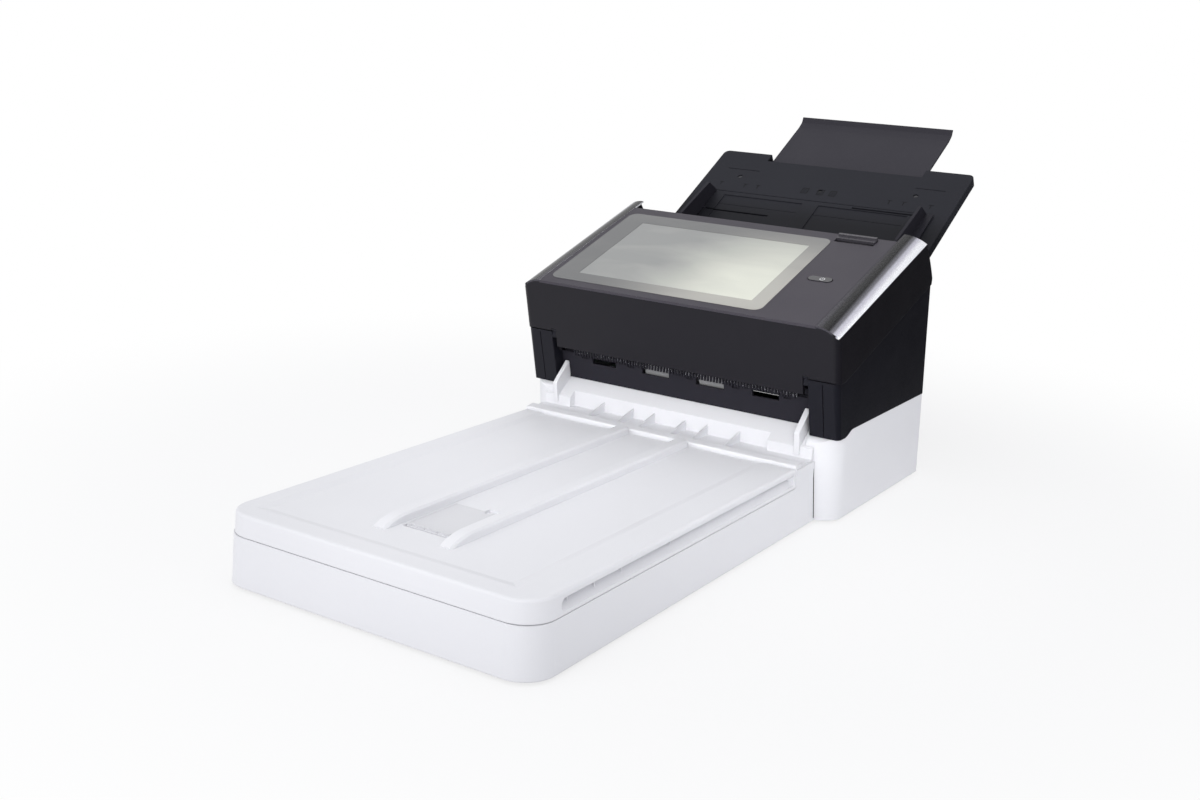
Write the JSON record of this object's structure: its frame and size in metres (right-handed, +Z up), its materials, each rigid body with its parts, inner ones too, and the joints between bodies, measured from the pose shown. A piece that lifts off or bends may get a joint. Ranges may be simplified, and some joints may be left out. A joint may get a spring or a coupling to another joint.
{
  "type": "sheet-fed scanner",
  "caption": "Desktop document scanner: black sheet-fed unit with touch screen and folding tray on a white base, with a hinged-lid flatbed in front.",
  "frame": {"origin": "middle of the underside, on the desk: halfway across and halfway along the whole object", "axes": "+Z up, +Y to the rear, from the flatbed to the input tray, +X to the user's right when facing the screen"},
  "size_m": [0.316, 0.8038, 0.3141],
  "materials": {
    "white_plastic": "fine satin moulded, cool white",
    "light_grey_plastic": "satin moulded",
    "platen_glass": "clear polished",
    "white_film": "matte film",
    "steel": "ground bar",
    "belt_rubber": "toothed belt",
    "zinc_metal": "zinc plated sheet",
    "black_plastic": "fine textured moulded black",
    "guide_plastic": "smooth black",
    "sensor_black": "black bar with a glass face",
    "board_green": "solder mask",
    "socket_metal": "tinned shell",
    "foot_rubber": "matte",
    "light_bar": "clear light guide",
    "gear_plastic": "natural acetal",
    "foam_white": "white sheet on foam",
    "tyre_rubber": "ground grey rubber",
    "brass": "turned",
    "panel_plastic": "satin grey metallic paint",
    "strip_gloss": "glossy dark metallic",
    "bezel_glass": "back-painted glass, grey",
    "display_glass": "switched-off pale screen",
    "idler_plastic": "smooth grey",
    "button_gloss": "gloss",
    "lever_plastic": "satin",
    "tray_plastic": "fine textured",
    "extension_plastic": "fine textured"
  },
  "bodies": {
    "chassis": {"flatbed_housing": "white_plastic", "platen_frame": "light_grey_plastic", "platen_glass": "platen_glass", "calibration_strip": "white_film", "carriage_guide_rod": "steel", "carriage_belt": "belt_rubber", "carriage_motor": "zinc_metal", "idler_bracket": "zinc_metal", "exit_tray": "white_plastic", "base_housing": "white_plastic", "base_bottom_plate": "zinc_metal", "lower_body": "black_plastic", "side_frames": "zinc_metal", "lower_guide": "guide_plastic", "lower_image_sensor": "sensor_black", "main_board": "board_green", "rear_port_panel": "black_plastic", "rear_sockets": "socket_metal", "drive_motor": "zinc_metal", "rubber_feet": "foot_rubber", "housing_screws": "steel"},
    "carriage": {"scan_carriage": "black_plastic", "carriage_light_bar": "light_bar"},
    "drive_pulley": {"belt_drive_pulley": "gear_plastic"},
    "idler_pulley": {"belt_idler_pulley": "gear_plastic"},
    "lid": {"lid_shell": "white_plastic", "lid_pad": "foam_white", "lid_hinge_pins": "steel"},
    "stopper": {"paper_stopper": "white_plastic"},
    "transport_roller": {"transport_shaft": "steel", "transport_tyres": "tyre_rubber", "transport_gear": "gear_plastic"},
    "eject_roller": {"eject_shaft": "steel", "eject_tyres": "tyre_rubber", "eject_gear": "gear_plastic"},
    "feed_roller": {"feed_shaft": "steel", "feed_tyres": "tyre_rubber", "feed_gear": "gear_plastic"},
    "large_idler": {"large_idler_gear": "gear_plastic"},
    "small_idler": {"small_idler_gear": "gear_plastic"},
    "motor_wheel": {"motor_pinion": "brass"},
    "cover": {"front_cover": "black_plastic", "control_panel": "panel_plastic", "side_strips": "strip_gloss", "screen_bezel": "bezel_glass", "display_panel": "display_glass", "upper_guide": "guide_plastic", "upper_image_sensor": "sensor_black", "cover_hinge_pins": "steel"},
    "separation_wheel": {"separation_roller": "tyre_rubber"},
    "transport_idler_row": {"transport_idlers": "idler_plastic"},
    "eject_idler_row": {"eject_idlers": "idler_plastic"},
    "button": {"power_button": "button_gloss"},
    "lever": {"release_lever": "lever_plastic"},
    "tray": {"input_tray": "tray_plastic", "tray_bottom_cover": "tray_plastic"},
    "extension": {"tray_extension": "extension_plastic"},
    "left_guide": {"left_paper_guide": "guide_plastic"},
    "right_guide": {"right_paper_guide": "guide_plastic"},
    "pinion": {"guide_pinion": "gear_plastic"}
  },
  "joints": [
    {"name": "cover_hinge", "type": "hinge", "parent": "chassis", "child": "cover", "pos_m": [0, -0.00217, 0.1294], "axis": [1, 0, 0], "range_deg": [0, 80]},
    {"name": "lid_hinge", "type": "hinge", "parent": "chassis", "child": "lid", "pos_m": [-0.1362, -0.21152, 0.0426], "axis": [0, 1, 0], "range_deg": [-80, 0]},
    {"name": "stopper_hinge", "type": "hinge", "parent": "lid", "child": "stopper", "pos_m": [0, -0.33552, 0.0546], "axis": [1, 0, 0], "range_deg": [0, 100]},
    {"name": "tray_hinge", "type": "hinge", "parent": "chassis", "child": "tray", "pos_m": [0, 0.17748, 0.176], "axis": [1, 0, 0], "range_deg": [0, 58]},
    {"name": "extension_slide", "type": "slide", "parent": "tray", "child": "extension", "axis": [0, 0.8643, 0.503], "range_m": [-0.072, 0]},
    {"name": "right_guide_slide", "type": "slide", "parent": "tray", "child": "right_guide", "axis": [1, 0, 0], "range_m": [-0.07, 0]},
    {"name": "left_guide_slide", "type": "slide", "parent": "tray", "child": "left_guide", "axis": [1, 0, 0], "range_m": [0, 0.07]},
    {"name": "guide_pinion_spin", "type": "hinge", "parent": "tray", "child": "pinion", "pos_m": [-0.0035, 0.25654, 0.22751], "axis": [0, -0.503, 0.8643], "continuous": true},
    {"name": "carriage_slide", "type": "slide", "parent": "chassis", "child": "carriage", "axis": [0, 1, 0], "range_m": [0, 0.285]},
    {"name": "drive_pulley_spin", "type": "hinge", "parent": "chassis", "child": "drive_pulley", "pos_m": [0.04, -0.01152, 0.02], "axis": [1, 0, 0], "continuous": true},
    {"name": "idler_pulley_spin", "type": "hinge", "parent": "chassis", "child": "idler_pulley", "pos_m": [0.04, -0.38452, 0.02], "axis": [1, 0, 0], "continuous": true},
    {"name": "transport_spin", "type": "hinge", "parent": "chassis", "child": "transport_roller", "pos_m": [0, 0.09046, 0.13194], "axis": [1, 0, 0], "continuous": true},
    {"name": "eject_spin", "type": "hinge", "parent": "chassis", "child": "eject_roller", "pos_m": [0, 0.02854, 0.10385], "axis": [1, 0, 0], "continuous": true},
    {"name": "feed_spin", "type": "hinge", "parent": "chassis", "child": "feed_roller", "pos_m": [0, 0.12507, 0.14764], "axis": [1, 0, 0], "continuous": true},
    {"name": "large_idler_spin", "type": "hinge", "parent": "chassis", "child": "large_idler", "pos_m": [0, 0.0595, 0.1179], "axis": [1, 0, 0], "continuous": true},
    {"name": "small_idler_spin", "type": "hinge", "parent": "chassis", "child": "small_idler", "pos_m": [0, 0.10776, 0.13979], "axis": [1, 0, 0], "continuous": true},
    {"name": "motor_spin", "type": "hinge", "parent": "chassis", "child": "motor_wheel", "pos_m": [0, 0.08571, 0.10804], "axis": [1, 0, 0], "continuous": true},
    {"name": "separation_spin", "type": "hinge", "parent": "cover", "child": "separation_wheel", "pos_m": [0, 0.11709, 0.16522], "axis": [1, 0, 0], "continuous": true},
    {"name": "transport_idler_spin", "type": "hinge", "parent": "cover", "child": "transport_idler_row", "pos_m": [0, 0.08373, 0.14679], "axis": [1, 0, 0], "continuous": true},
    {"name": "eject_idler_spin", "type": "hinge", "parent": "cover", "child": "eject_idler_row", "pos_m": [0, 0.0218, 0.11869], "axis": [1, 0, 0], "continuous": true},
    {"name": "power_button_press", "type": "slide", "parent": "cover", "child": "button", "axis": [0, -0.3137, 0.9495], "range_m": [-0.0012, 0], "stiffness_N_per_m": 400},
    {"name": "release_lever_pull", "type": "slide", "parent": "cover", "child": "lever", "axis": [0, 0.9495, 0.3137], "range_m": [-0.004, 0], "stiffness_N_per_m": 200}
  ],
  "couplings": [
    {"joint": "large_idler_spin", "follows": "transport_spin", "ratio": -0.54546},
    {"joint": "eject_spin", "follows": "transport_spin", "ratio": 1},
    {"joint": "small_idler_spin", "follows": "transport_spin", "ratio": -1.7143},
    {"joint": "feed_spin", "follows": "transport_spin", "ratio": 1},
    {"joint": "motor_spin", "follows": "transport_spin", "ratio": 2},
    {"joint": "left_guide_slide", "follows": "right_guide_slide", "ratio": -1},
    {"joint": "guide_pinion_spin", "follows": "right_guide_slide", "rad_per_m": -100},
    {"joint": "drive_pulley_spin", "follows": "carriage_slide", "rad_per_m": 157.08},
    {"joint": "idler_pulley_spin", "follows": "carriage_slide", "rad_per_m": 157.08}
  ]
}
